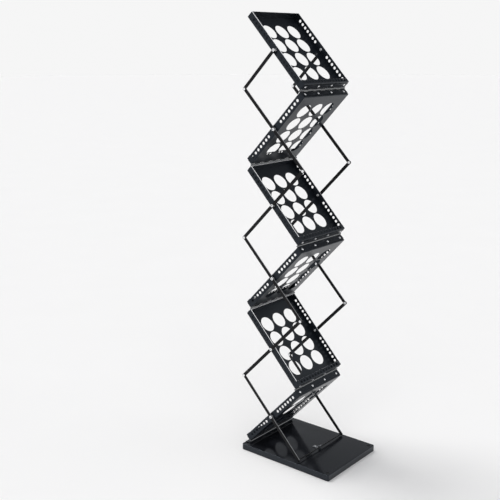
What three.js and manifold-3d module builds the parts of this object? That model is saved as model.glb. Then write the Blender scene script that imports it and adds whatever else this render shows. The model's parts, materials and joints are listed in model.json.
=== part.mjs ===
// Folding display rack for A4 periodicals. Perforated sheet-steel trays are hinged end to end in a
// zig-zag on a flat base, and scissor arms on both sides keep them in step, so that the whole stack
// folds down flat. Millimetres, +Z up, front towards -Y, origin under the middle of the base.

import * as THREE from 'three';
import { mergeVertices } from 'three/addons/utils/BufferGeometryUtils.js';
import Module from 'manifold-3d';

const wasm = await Module();
wasm.setup();

// Clearances between separate pieces
const FIT_GAP = 0.35;
const PIVOT_GAP = 0.4;
const MERGE_TOLERANCE = 1e-4;
const CUT_OVERRUN = 1;

// Trays
const TRAY_COUNT = 6;
const TRAY_WIDTH = 249;
const TRAY_LENGTH = 301;
const FLANGE_HEIGHT = 25;
const SHEET = 1.2;
const RETURN_WIDTH = 16;
const TILT = THREE.MathUtils.degToRad(47);

// Perforation of the trays
const LARGE_HOLE = 54.5;
const LARGE_PITCH_ACROSS = 64.5;
const LARGE_PITCH_ALONG = 58.4;
const LARGE_MARGIN = 30;
const LARGE_SIDES = 16;
const SMALL_HOLE = 9.5;
const SMALL_SIDES = 5;
const SIDE_HOLE_PITCH = 15.3;
const SIDE_HOLE_FIRST = 34.7;
const LIP_HOLE_PITCH = 16.1;
const SMALL_MARGIN = 18;

// Strip hinges
const KNUCKLE_COUNT = 11;
const KNUCKLE_RADIUS = 3;
const KNUCKLE_TUCK = 0.1;
const KNUCKLE_SIDES = 6;
const PIN_RADIUS = KNUCKLE_RADIUS / 2;
const PIN_SIDES = 6;
const BORE_SIDES = 5;
const LEAF = 1.1;
const LEAF_HEIGHT = 20;
const RIVET_COUNT = 4;
const RIVET_MARGIN = 16.5;
const RIVET_LINE = 13.5;
const RIVET_RADIUS = 3.2;
const RIVET_HEIGHT = 1.2;
const RIVET_SIDES = 6;
const BASE_SCREW_LINE = 11.5;

// Scissor arms
const ARM_WIDTH = 11;
const ARM_THICKNESS = 2.4;
const ARM_REACH = 14.85;
const ARM_STANDOFF = 4.9;
const ARM_END_SEGMENTS = 3;
const ELBOW_SHANK = 1.5;
const ELBOW_PLAY = 2.4;
const ELBOW_HEAD_RADIUS = 4.6;
const ELBOW_HEAD_HEIGHT = 1.2;
const PIVOT_SHANK = 2.4;
const PIVOT_HEAD_RADIUS = 5.2;
const PIVOT_HEAD_HEIGHT = 2.2;
const PIVOT_COLLAR_RADIUS = 4.4;
const PIVOT_NUT_HEIGHT = 2.6;
const ROUND_SIDES = 6;

// Foot rod and the clip that holds it
const ROD_RADIUS = 2;
const ROD_HEAD_RADIUS = 4;
const ROD_HEAD_HEIGHT = 1.5;
const CLIP_WIDTH = 14;
const CLIP_SHEET = 1;
const CLIP_FOOT = 27;
const CLIP_CLEARANCE = 0.8;
const CLIP_SCREW_FROM_FRONT = 8;
const SMALL_SCREW_HEAD = 3.2;
const SMALL_SCREW_HEIGHT = 1.8;
const SMALL_SCREW_SHANK = 1.5;
const SMALL_SCREW_DEPTH = 9;

// Base
const BASE_THICKNESS = 21;
const BASE_SIDE_MARGIN = 19;
const BASE_REAR_MARGIN = 18.8;
const HINGE_SETBACK = 22.4;
const FOOT_CLEARANCE = 1.9;
const BASE_CORNER_RADIUS = 5;
const BASE_EDGE = 0.8;
const BASE_CORNER_SEGMENTS = 3;
const CORNER_SCREW_FROM_SIDE = 17.5;
const CORNER_SCREW_FROM_END = 13.2;
const CORNER_SCREW_HEAD = 4.8;
const CORNER_SCREW_HEAD_HEIGHT = 2.4;
const CORNER_SCREW_SHANK = 2;
const CORNER_SCREW_DEPTH = 12;

// Hinge axes, measured from the tray's corners: just clear of the rolled knuckles
const AXIS_OUT = KNUCKLE_RADIUS - KNUCKLE_TUCK;
const AXIS_UP = Math.sqrt((KNUCKLE_RADIUS + FIT_GAP) ** 2 - AXIS_OUT ** 2);
const AXIS_ALONG = TRAY_LENGTH + 2 * AXIS_OUT;
const AXIS_ACROSS = FLANGE_HEIGHT + 2 * AXIS_UP;
const AXIS_SPAN = Math.hypot(AXIS_ALONG, AXIS_ACROSS);
const AXIS_SLOPE = Math.atan2(AXIS_ACROSS, AXIS_ALONG);

// Linkage: each arm turns on the middle of its tray and meets its neighbours at the elbows
const ARM_LENGTH = AXIS_SPAN + 2 * ARM_REACH;
const HALF_ARM = ARM_LENGTH / 2;
const TRAY_RISE = AXIS_SPAN * Math.sin(TILT + AXIS_SLOPE);
const TRAY_RUN = AXIS_SPAN * Math.cos(TILT + AXIS_SLOPE);
const ARM_SLOPE = Math.asin(TRAY_RISE / ARM_LENGTH);
const FOLDED_ARM_SLOPE = Math.asin(AXIS_ACROSS / ARM_LENGTH);

// Base outline, sized to carry the folded stack, and the first hinge axis
const FOLDED_ROD_REACH = AXIS_ALONG / 2 + HALF_ARM * Math.cos(FOLDED_ARM_SLOPE);
const BASE_WIDTH = TRAY_WIDTH + 2 * BASE_SIDE_MARGIN;
const BASE_DEPTH = HINGE_SETBACK + FOLDED_ROD_REACH + BASE_REAR_MARGIN;
const HINGE_RISE = ARM_WIDTH / 2 + FOOT_CLEARANCE;
const FIRST_AXIS_Y = HINGE_SETBACK - BASE_DEPTH / 2;
const FIRST_AXIS_Z = BASE_THICKNESS + HINGE_RISE;

// Planes of the arms, measured outwards from the middle of the rack
const SIDE = TRAY_WIDTH / 2;
const INNER_ARM = SIDE + ARM_STANDOFF;
const OUTER_ARM = INNER_ARM + ARM_THICKNESS + PIVOT_GAP;

// Finishes
const blackCoat = new THREE.MeshStandardMaterial({ color: 0x23262b, roughness: 0.45, metalness: 0.2 });
const blackArm = new THREE.MeshStandardMaterial({ color: 0x17181a, roughness: 0.5, metalness: 0.2 });
const blackBoard = new THREE.MeshStandardMaterial({ color: 0x2b2d31, roughness: 0.35, metalness: 0 });
const brightSteel = new THREE.MeshStandardMaterial({ color: 0xc9ccd0, roughness: 0.3, metalness: 1 });
const springSteel = new THREE.MeshStandardMaterial({ color: 0x4a4d52, roughness: 0.4, metalness: 0.8 });

const X_AXIS = new THREE.Vector3(1, 0, 0);
const Y_AXIS = new THREE.Vector3(0, 1, 0);
const Z_AXIS = new THREE.Vector3(0, 0, 1);

// A closed solid from a geometry whose shared vertices are merged
function solid(geometry) {
  geometry.deleteAttribute('normal');
  geometry.deleteAttribute('uv');
  const merged = mergeVertices(geometry, MERGE_TOLERANCE);
  const index = merged.index.array;
  const triangles = [];
  for (let i = 0; i < index.length; i += 3) {
    const [a, b, c] = [index[i], index[i + 1], index[i + 2]];
    if (a !== b && b !== c && c !== a) {
      triangles.push(a, b, c);
    }
  }
  const vertProperties = new Float32Array(merged.attributes.position.array);
  const triVerts = new Uint32Array(triangles);
  return new wasm.Manifold(new wasm.Mesh({ numProp: 3, vertProperties, triVerts }));
}

// A geometry from a finished solid
function surface(body) {
  const { vertProperties, triVerts } = body.getMesh();
  const geometry = new THREE.BufferGeometry();
  geometry.setAttribute('position', new THREE.BufferAttribute(vertProperties, 3));
  geometry.setIndex(new THREE.BufferAttribute(triVerts, 1));
  geometry.computeVertexNormals();
  return geometry;
}

// A block between two corners
function block(low, high) {
  const size = high.map((value, i) => value - low[i]);
  const middle = high.map((value, i) => (value + low[i]) / 2);
  return solid(new THREE.BoxGeometry(...size).translate(...middle));
}

// A cylinder along the given axis, from one place on it to another
function cylinder(radius, sides, axis, from, to, centre) {
  const geometry = new THREE.CylinderGeometry(radius, radius, to - from, sides);
  geometry.translate(0, (from + to) / 2, 0);
  geometry.applyQuaternion(new THREE.Quaternion().setFromUnitVectors(Y_AXIS, axis));
  return solid(geometry.translate(...centre));
}

// A shape drawn in Y and Z, pulled along X from one place to another
function pulled(shape, from, to) {
  const geometry = new THREE.ExtrudeGeometry(shape, {
    depth: to - from,
    bevelEnabled: false,
    curveSegments: ARM_END_SEGMENTS,
  });
  geometry.applyMatrix4(new THREE.Matrix4().makeBasis(Y_AXIS, Z_AXIS, X_AXIS));
  return solid(geometry.translate(from, 0, 0));
}

// A turned piece along X: radius and place pairs, starting and ending on the axis
function turnedAlongX(profile) {
  const points = profile.map(([radius, place]) => new THREE.Vector2(radius, place));
  const geometry = new THREE.LatheGeometry(points, ROUND_SIDES);
  const turn = new THREE.Matrix4().makeBasis(Y_AXIS, X_AXIS, Z_AXIS.clone().negate());
  return solid(geometry.applyMatrix4(turn));
}

// A turned piece along Z, from the same kind of profile
function turnedAlongZ(profile) {
  const points = profile.map(([radius, place]) => new THREE.Vector2(radius, place));
  return solid(new THREE.LatheGeometry(points, ROUND_SIDES).rotateX(Math.PI / 2));
}

// Evenly spaced places around zero
function spread(count, pitch) {
  return Array.from({ length: count }, (_, i) => (i - (count - 1) / 2) * pitch);
}

function fitting(length, pitch) {
  return Math.floor(length / pitch) + 1;
}

function named(name, body, material) {
  const mesh = new THREE.Mesh(surface(body), material);
  mesh.name = name;
  return mesh;
}

// Circumscribed radius of a polygonal hole that leaves the given radius free all round
function freeBore(radius, sides) {
  return radius / Math.cos(Math.PI / sides);
}

const sideNames = [['left', -1], ['right', 1]];

// Tray frame: Y up the slope and Z out of the plate, with zero on the lower hinge axis
const TRAY_LOW = AXIS_OUT;
const TRAY_HIGH = AXIS_OUT + TRAY_LENGTH;
const TRAY_MIDDLE = AXIS_ALONG / 2;
const PLATE_BOTTOM = AXIS_UP;
const FLANGE_TOP = AXIS_UP + FLANGE_HEIGHT;
const PIVOT_LEVEL = AXIS_ACROSS / 2;

function trayBlank() {
  const whole = block([-SIDE, TRAY_LOW, PLATE_BOTTOM], [SIDE, TRAY_HIGH, FLANGE_TOP]);
  const hollow = new THREE.Shape();
  hollow.moveTo(TRAY_LOW + SHEET, PLATE_BOTTOM + SHEET);
  hollow.lineTo(TRAY_HIGH - SHEET, PLATE_BOTTOM + SHEET);
  hollow.lineTo(TRAY_HIGH - SHEET, FLANGE_TOP + CUT_OVERRUN);
  hollow.lineTo(TRAY_LOW + RETURN_WIDTH, FLANGE_TOP + CUT_OVERRUN);
  hollow.lineTo(TRAY_LOW + RETURN_WIDTH, FLANGE_TOP - SHEET);
  hollow.lineTo(TRAY_LOW + SHEET, FLANGE_TOP - SHEET);
  return whole.subtract(pulled(hollow, SHEET - SIDE, SIDE - SHEET));
}

function plateHoles() {
  const across = fitting(TRAY_WIDTH - 2 * LARGE_MARGIN - LARGE_HOLE, LARGE_PITCH_ACROSS);
  const along = fitting(TRAY_LENGTH - 2 * LARGE_MARGIN - LARGE_HOLE, LARGE_PITCH_ALONG);
  const holes = [];
  for (const x of spread(across, LARGE_PITCH_ACROSS)) {
    for (const y of spread(along, LARGE_PITCH_ALONG)) {
      const centre = [x, TRAY_MIDDLE + y, 0];
      const top = PLATE_BOTTOM + SHEET + CUT_OVERRUN;
      holes.push(cylinder(LARGE_HOLE / 2, LARGE_SIDES, Z_AXIS, PLATE_BOTTOM - CUT_OVERRUN, top, centre));
    }
  }
  return holes;
}

function sideHoles() {
  const length = SIDE + CUT_OVERRUN;
  const count = fitting(TRAY_LENGTH / 2 - SMALL_MARGIN - SIDE_HOLE_FIRST, SIDE_HOLE_PITCH);
  const holes = [];
  for (let i = 0; i < count; i += 1) {
    for (const way of [-1, 1]) {
      const y = TRAY_MIDDLE + way * (SIDE_HOLE_FIRST + i * SIDE_HOLE_PITCH);
      holes.push(cylinder(SMALL_HOLE / 2, SMALL_SIDES, X_AXIS, -length, length, [0, y, PIVOT_LEVEL]));
    }
  }
  const bore = freeBore(PIVOT_SHANK + PIVOT_GAP, ROUND_SIDES);
  holes.push(cylinder(bore, ROUND_SIDES, X_AXIS, -length, length, [0, TRAY_MIDDLE, PIVOT_LEVEL]));
  return holes;
}

function lipHoles() {
  const count = fitting(TRAY_WIDTH - 2 * SMALL_MARGIN, LIP_HOLE_PITCH);
  const bottom = FLANGE_TOP - SHEET - CUT_OVERRUN;
  const y = TRAY_LOW + RETURN_WIDTH / 2;
  return spread(count, LIP_HOLE_PITCH).map((x) =>
    cylinder(SMALL_HOLE / 2, SMALL_SIDES, Z_AXIS, bottom, FLANGE_TOP + CUT_OVERRUN, [x, y, 0]));
}

function trayPan() {
  const cuts = [...plateHoles(), ...sideHoles(), ...lipHoles()];
  return cuts.reduce((pan, cut) => pan.subtract(cut), trayBlank());
}

// Hinge frame: zero on the axis, with a leaf's strip standing up +Z behind its knuckles
const KNUCKLE_LENGTH = (TRAY_WIDTH - (KNUCKLE_COUNT - 1) * PIVOT_GAP) / KNUCKLE_COUNT;
const LEAF_BACK = AXIS_OUT - FIT_GAP;
const LEAF_FRONT = LEAF_BACK - LEAF;
const STRIP_START = Math.sqrt((KNUCKLE_RADIUS + PIVOT_GAP) ** 2 - LEAF_FRONT ** 2);

function knuckles(leaf, first) {
  const places = spread(KNUCKLE_COUNT, KNUCKLE_LENGTH + PIVOT_GAP);
  for (let i = first; i < KNUCKLE_COUNT; i += 2) {
    const from = places[i] - KNUCKLE_LENGTH / 2;
    const to = places[i] + KNUCKLE_LENGTH / 2;
    leaf = leaf.add(cylinder(KNUCKLE_RADIUS, KNUCKLE_SIDES, X_AXIS, from, to, [0, 0, 0]));
    leaf = leaf.add(block([from, LEAF_FRONT, 0], [to, LEAF_BACK, STRIP_START + LEAF]));
  }
  const bore = freeBore(PIN_RADIUS + FIT_GAP, BORE_SIDES);
  return leaf.subtract(cylinder(bore, BORE_SIDES, X_AXIS, -TRAY_WIDTH, TRAY_WIDTH, [0, 0, 0]));
}

const rivetPlaces = spread(RIVET_COUNT, (TRAY_WIDTH - 2 * RIVET_MARGIN) / (RIVET_COUNT - 1));

// A leaf riveted flat against a tray's end flange
function trayLeaf(firstKnuckle) {
  let leaf = block([-SIDE, LEAF_FRONT, STRIP_START], [SIDE, LEAF_BACK, LEAF_HEIGHT]);
  for (const x of rivetPlaces) {
    const from = LEAF_FRONT - RIVET_HEIGHT;
    leaf = leaf.add(cylinder(RIVET_RADIUS, RIVET_SIDES, Y_AXIS, from, LEAF_BACK, [x, 0, RIVET_LINE]));
  }
  return knuckles(leaf, firstKnuckle);
}

// The lowest leaf is cranked: it stands up from a foot that is screwed down on the base
function baseLeaf(firstKnuckle) {
  const sole = HINGE_RISE - FIT_GAP;
  const toe = HINGE_SETBACK - LEAF;
  const crank = new THREE.Shape();
  crank.moveTo(LEAF_FRONT, STRIP_START);
  crank.lineTo(LEAF_BACK, STRIP_START);
  crank.lineTo(toe, sole - LEAF);
  crank.lineTo(toe, sole);
  crank.lineTo(LEAF_FRONT, sole);
  const bend = new THREE.Shape();
  bend.moveTo(LEAF_BACK, STRIP_START);
  bend.lineTo(LEAF_BACK, sole - LEAF);
  bend.lineTo(toe + CUT_OVERRUN, sole - LEAF);
  bend.lineTo(toe + CUT_OVERRUN, STRIP_START - CUT_OVERRUN);
  bend.lineTo(LEAF_BACK, STRIP_START - CUT_OVERRUN);
  let leaf = pulled(crank, -SIDE, SIDE).subtract(pulled(bend, -TRAY_WIDTH, TRAY_WIDTH));
  for (const x of rivetPlaces) {
    const from = sole - LEAF - RIVET_HEIGHT;
    leaf = leaf.add(cylinder(RIVET_RADIUS, RIVET_SIDES, Z_AXIS, from, sole, [x, BASE_SCREW_LINE, 0]));
  }
  return knuckles(leaf, firstKnuckle);
}

// Arm frame: zero on the middle pivot, Y along the bar
function armOutline(low, high, bores) {
  const half = ARM_WIDTH / 2;
  const outline = new THREE.Shape();
  outline.absarc(high, 0, half, -Math.PI / 2, Math.PI / 2, false);
  outline.absarc(low, 0, half, Math.PI / 2, (3 * Math.PI) / 2, false);
  outline.closePath();
  for (const [place, radius] of bores) {
    const bore = new THREE.Path();
    for (let i = 0; i < ROUND_SIDES; i += 1) {
      const turn = (-2 * Math.PI * i) / ROUND_SIDES;
      bore[i ? 'lineTo' : 'moveTo'](place + radius * Math.cos(turn), radius * Math.sin(turn));
    }
    outline.holes.push(bore);
  }
  return outline;
}

const PIVOT_BORE = [0, freeBore(PIVOT_SHANK + PIVOT_GAP, ROUND_SIDES)];
const ELBOW_BORE = freeBore(ELBOW_SHANK + ELBOW_PLAY, ROUND_SIDES);
const FOOT_BORE = freeBore(ROD_RADIUS + FIT_GAP, ROUND_SIDES);

// An inner bar has open bores at its elbows, or round the foot rod
function innerArm(side, lowBore) {
  const bores = [PIVOT_BORE, [-HALF_ARM, lowBore], [HALF_ARM, ELBOW_BORE]];
  const outline = armOutline(-HALF_ARM, HALF_ARM, bores);
  const [from, to] = [INNER_ARM, INNER_ARM + ARM_THICKNESS];
  return side > 0 ? pulled(outline, from, to) : pulled(outline, -to, -from);
}

// An outer bar carries the elbow rivets, which reach through the bores of the inner bars
function outerArm(side, high, elbows) {
  const outline = armOutline(-HALF_ARM, high, [PIVOT_BORE]);
  const [from, to] = [OUTER_ARM, OUTER_ARM + ARM_THICKNESS];
  const innerHead = INNER_ARM - PIVOT_GAP;
  let arm = side > 0 ? pulled(outline, from, to) : pulled(outline, -to, -from);
  for (const y of elbows) {
    const along = (radius, start, end) =>
      cylinder(radius, ROUND_SIDES, X_AXIS, side > 0 ? start : -end, side > 0 ? end : -start, [0, y, 0]);
    arm = arm.add(along(ELBOW_SHANK, innerHead - ELBOW_HEAD_HEIGHT, to));
    arm = arm.add(along(ELBOW_HEAD_RADIUS, innerHead - ELBOW_HEAD_HEIGHT, innerHead));
    arm = arm.add(along(ELBOW_HEAD_RADIUS, to, to + ELBOW_HEAD_HEIGHT));
  }
  return arm;
}

// Shouldered screw that holds an arm's middle off the tray's side flange
function pivotScrew(side, armFace) {
  const inside = SIDE - SHEET - FIT_GAP;
  const outside = SIDE + FIT_GAP;
  const armBack = armFace - FIT_GAP;
  const armFront = armFace + ARM_THICKNESS + FIT_GAP;
  const head = armFront + PIVOT_HEAD_HEIGHT;
  const screw = turnedAlongX([
    [0, inside - PIVOT_NUT_HEIGHT],
    [PIVOT_COLLAR_RADIUS, inside - PIVOT_NUT_HEIGHT],
    [PIVOT_COLLAR_RADIUS, inside],
    [PIVOT_SHANK, inside],
    [PIVOT_SHANK, outside],
    [PIVOT_COLLAR_RADIUS, outside],
    [PIVOT_COLLAR_RADIUS, armBack],
    [PIVOT_SHANK, armBack],
    [PIVOT_SHANK, armFront],
    [PIVOT_HEAD_RADIUS, armFront],
    [PIVOT_HEAD_RADIUS, head],
    [0, head],
  ]);
  return side > 0 ? screw : screw.rotate([0, 0, 180]);
}

function footRod() {
  const end = INNER_ARM + ARM_THICKNESS + FIT_GAP;
  const tip = end + ROD_HEAD_HEIGHT;
  return turnedAlongX([
    [0, -tip],
    [ROD_HEAD_RADIUS, -tip],
    [ROD_HEAD_RADIUS, -end],
    [ROD_RADIUS, -end],
    [ROD_RADIUS, end],
    [ROD_HEAD_RADIUS, end],
    [ROD_HEAD_RADIUS, tip],
    [0, tip],
  ]);
}

// Base frame: the rod's place at rest, and the places of the screws
const ROD_Y = FIRST_AXIS_Y + TRAY_RUN / 2 + HALF_ARM * Math.cos(ARM_SLOPE);
const CLIP_RISER = ROD_Y - ROD_RADIUS - CLIP_CLEARANCE;
const CLIP_TOE = CLIP_RISER - CLIP_FOOT;
const CLIP_SCREW_Y = CLIP_TOE + CLIP_SCREW_FROM_FRONT;
const cornerScrews = [
  ['front_left', -1, -1],
  ['front_right', 1, -1],
  ['rear_left', -1, 1],
  ['rear_right', 1, 1],
].map(([name, x, y]) => [
  name,
  x * (BASE_WIDTH / 2 - CORNER_SCREW_FROM_SIDE),
  y * (BASE_DEPTH / 2 - CORNER_SCREW_FROM_END),
]);

function baseBoard() {
  const x = BASE_WIDTH / 2 - BASE_EDGE;
  const y = BASE_DEPTH / 2 - BASE_EDGE;
  const r = BASE_CORNER_RADIUS;
  const outline = new THREE.Shape();
  outline.absarc(x - r, y - r, r, 0, Math.PI / 2, false);
  outline.absarc(r - x, y - r, r, Math.PI / 2, Math.PI, false);
  outline.absarc(r - x, r - y, r, Math.PI, (3 * Math.PI) / 2, false);
  outline.absarc(x - r, r - y, r, (3 * Math.PI) / 2, 2 * Math.PI, false);
  const geometry = new THREE.ExtrudeGeometry(outline, {
    depth: BASE_THICKNESS - 2 * BASE_EDGE,
    bevelSize: BASE_EDGE,
    bevelThickness: BASE_EDGE,
    bevelSegments: 1,
    curveSegments: BASE_CORNER_SEGMENTS,
  });
  let board = solid(geometry.translate(0, 0, BASE_EDGE));
  const top = BASE_THICKNESS + CUT_OVERRUN;
  const hole = (radius, depth, place) => {
    const bore = freeBore(radius + FIT_GAP, ROUND_SIDES);
    return cylinder(bore, ROUND_SIDES, Z_AXIS, BASE_THICKNESS - depth, top, place);
  };
  for (const [, screwX, screwY] of cornerScrews) {
    const seat = CORNER_SCREW_HEAD_HEIGHT + FIT_GAP;
    board = board.subtract(hole(CORNER_SCREW_HEAD, seat, [screwX, screwY, 0]));
    board = board.subtract(hole(CORNER_SCREW_SHANK, CORNER_SCREW_DEPTH + FIT_GAP, [screwX, screwY, 0]));
  }
  return board.subtract(hole(SMALL_SCREW_SHANK, SMALL_SCREW_DEPTH + FIT_GAP, [0, CLIP_SCREW_Y, 0]));
}

function cornerScrew() {
  return turnedAlongZ([
    [0, -CORNER_SCREW_DEPTH],
    [CORNER_SCREW_SHANK, -CORNER_SCREW_DEPTH],
    [CORNER_SCREW_SHANK, -CORNER_SCREW_HEAD_HEIGHT],
    [CORNER_SCREW_HEAD, -CORNER_SCREW_HEAD_HEIGHT],
    [CORNER_SCREW_HEAD, 0],
    [0, 0],
  ]);
}

// Sprung strip that hooks over the rod and opens to the rear
function rodClip() {
  const sole = BASE_THICKNESS + FIT_GAP;
  const underTop = FIRST_AXIS_Z + ROD_RADIUS + CLIP_CLEARANCE;
  const lip = ROD_Y + ROD_RADIUS;
  const strip = new THREE.Shape();
  strip.moveTo(CLIP_TOE, sole);
  strip.lineTo(CLIP_RISER, sole);
  strip.lineTo(CLIP_RISER, underTop);
  strip.lineTo(lip, underTop);
  strip.lineTo(lip, underTop + CLIP_SHEET);
  strip.lineTo(CLIP_RISER - CLIP_SHEET, underTop + CLIP_SHEET);
  strip.lineTo(CLIP_RISER - CLIP_SHEET, sole + CLIP_SHEET);
  strip.lineTo(CLIP_TOE, sole + CLIP_SHEET);
  const bore = freeBore(SMALL_SCREW_SHANK + FIT_GAP, ROUND_SIDES);
  const top = sole + CLIP_SHEET + CUT_OVERRUN;
  const clip = pulled(strip, -CLIP_WIDTH / 2, CLIP_WIDTH / 2);
  return clip.subtract(cylinder(bore, ROUND_SIDES, Z_AXIS, sole - CUT_OVERRUN, top, [0, CLIP_SCREW_Y, 0]));
}

function clipScrew() {
  const seat = FIT_GAP + CLIP_SHEET + FIT_GAP;
  return turnedAlongZ([
    [0, -SMALL_SCREW_DEPTH],
    [SMALL_SCREW_SHANK, -SMALL_SCREW_DEPTH],
    [SMALL_SCREW_SHANK, seat],
    [SMALL_SCREW_HEAD, seat],
    [SMALL_SCREW_HEAD, seat + SMALL_SCREW_HEIGHT],
    [0, seat + SMALL_SCREW_HEIGHT],
  ]);
}

// A frame on a hinge axis, facing the front or turned about to face the rear
function facing(y, z, towardsRear) {
  const frame = new THREE.Group();
  frame.position.set(0, y, z);
  frame.rotation.z = towardsRear ? Math.PI : 0;
  return frame;
}

function tilted(parent, slope) {
  const frame = new THREE.Group();
  frame.rotation.x = slope;
  parent.add(frame);
  return frame;
}

const rack = new THREE.Group();

function addBase() {
  rack.add(named('base_board', baseBoard(), blackBoard));
  for (const [name, x, y] of cornerScrews) {
    const screw = named(`base_screw_${name}`, cornerScrew(), brightSteel);
    screw.position.set(x, y, BASE_THICKNESS - FIT_GAP);
    rack.add(screw);
  }
  rack.add(named('rod_clip', rodClip(), springSteel));
  const screw = named('rod_clip_screw', clipScrew(), brightSteel);
  screw.position.set(0, CLIP_SCREW_Y, BASE_THICKNESS);
  rack.add(screw);
  const hinge = facing(FIRST_AXIS_Y, FIRST_AXIS_Z, false);
  hinge.rotation.x = Math.PI;
  hinge.add(named('hinge_1_lower_leaf', baseLeaf(0), blackCoat));
  hinge.add(named('hinge_1_pin', hingePin(), springSteel));
  rack.add(hinge);
}

function hingePin() {
  return cylinder(PIN_RADIUS, PIN_SIDES, X_AXIS, -SIDE, SIDE, [0, 0, 0]);
}

// One tray with the leaves at both its ends and the screws in its sides
function addTray(number, y, z, towardsRear) {
  const tray = tilted(facing(y, z, towardsRear), TILT);
  tray.add(named(`tray_${number}`, trayPan(), blackCoat));
  tray.add(named(`hinge_${number}_upper_leaf`, trayLeaf(1), blackCoat));
  if (number < TRAY_COUNT) {
    const hinge = new THREE.Group();
    hinge.position.set(0, AXIS_ALONG, AXIS_ACROSS);
    hinge.rotation.x = Math.PI;
    hinge.add(named(`hinge_${number + 1}_lower_leaf`, trayLeaf(0), blackCoat));
    hinge.add(named(`hinge_${number + 1}_pin`, hingePin(), springSteel));
    tray.add(hinge);
  }
  for (const [sideName, side] of sideNames) {
    const armFace = number % 2 ? INNER_ARM : OUTER_ARM;
    const body = pivotScrew(towardsRear ? -side : side, armFace);
    const screw = named(`pivot_${number}_${sideName}`, body, brightSteel);
    screw.position.set(0, TRAY_MIDDLE, PIVOT_LEVEL);
    tray.add(screw);
  }
  rack.add(tray.parent);
}

// The pair of bars on one tray's pivots; the lowest pair also carries the foot rod
function addArms(number, y, z, towardsRear) {
  const pair = tilted(facing(y, z, !towardsRear), ARM_SLOPE);
  const inner = number % 2 === 1;
  const last = number === TRAY_COUNT;
  for (const [sideName, worldSide] of sideNames) {
    const side = towardsRear ? worldSide : -worldSide;
    const lowBore = number === 1 ? FOOT_BORE : ELBOW_BORE;
    const elbows = last ? [-HALF_ARM] : [-HALF_ARM, HALF_ARM];
    const arm = inner ? innerArm(side, lowBore) : outerArm(side, last ? 0 : HALF_ARM, elbows);
    pair.add(named(`arm_${number}_${sideName}`, arm, blackArm));
  }
  if (number === 1) {
    const rod = named('foot_rod', footRod(), blackArm);
    rod.position.y = -HALF_ARM;
    pair.add(rod);
  }
  rack.add(pair.parent);
}

addBase();
for (let number = 1; number <= TRAY_COUNT; number += 1) {
  const towardsRear = number % 2 === 0;
  const axisY = FIRST_AXIS_Y + (towardsRear ? TRAY_RUN : 0);
  const axisZ = FIRST_AXIS_Z + (number - 1) * TRAY_RISE;
  addTray(number, axisY, axisZ, towardsRear);
  addArms(number, FIRST_AXIS_Y + TRAY_RUN / 2, axisZ + TRAY_RISE / 2, towardsRear);
}

export default rack;
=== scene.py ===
"""Looks of the folding periodical display rack, modelled over its CAD frame.

Every piece is built in millimetres in the frame of the part it belongs to, then set in place in the
object's frame in metres and tied to the CAD body it moves with.
"""

import json
import logging
import math
from collections.abc import Callable, Sequence
from dataclasses import dataclass, field
from enum import Enum

import bpy
from mathutils import Matrix, Vector


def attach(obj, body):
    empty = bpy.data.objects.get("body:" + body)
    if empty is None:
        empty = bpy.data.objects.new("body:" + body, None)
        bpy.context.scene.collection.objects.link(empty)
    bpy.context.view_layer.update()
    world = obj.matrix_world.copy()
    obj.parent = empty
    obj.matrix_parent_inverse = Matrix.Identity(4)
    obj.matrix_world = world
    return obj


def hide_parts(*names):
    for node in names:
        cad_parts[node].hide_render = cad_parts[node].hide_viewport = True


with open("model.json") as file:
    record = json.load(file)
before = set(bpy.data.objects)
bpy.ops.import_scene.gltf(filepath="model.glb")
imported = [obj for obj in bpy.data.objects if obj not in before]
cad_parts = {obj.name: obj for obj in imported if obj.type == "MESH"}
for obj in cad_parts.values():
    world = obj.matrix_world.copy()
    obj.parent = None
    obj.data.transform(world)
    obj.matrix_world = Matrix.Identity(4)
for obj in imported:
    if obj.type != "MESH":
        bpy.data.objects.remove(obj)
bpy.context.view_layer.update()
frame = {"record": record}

logging.basicConfig(level=logging.INFO, format="%(message)s")
LOG = logging.getLogger("rack")

MM = 0.001
OVERCUT = 1.0
TOUCH = 0.01
Obj = bpy.types.Object
Pair = tuple[float, float]
Point = tuple[float, float, float]
Colour = tuple[float, float, float]
Outline = Sequence[Pair]


class Axis(Enum):
    """Direction of a round piece."""

    X = Matrix.Rotation(math.pi / 2, 4, "Y")
    Y = Matrix.Rotation(-math.pi / 2, 4, "X")
    Z = Matrix.Identity(4)


class Side(Enum):
    """The two sides of the rack, as the sign of X."""

    LEFT = -1
    RIGHT = 1

    @property
    def label(self) -> str:
        """Returns the word used in node names."""
        return self.name.lower()


class Combine(Enum):
    """What one shape does to another."""

    CUT = "DIFFERENCE"
    MELT = "UNION"


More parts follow.
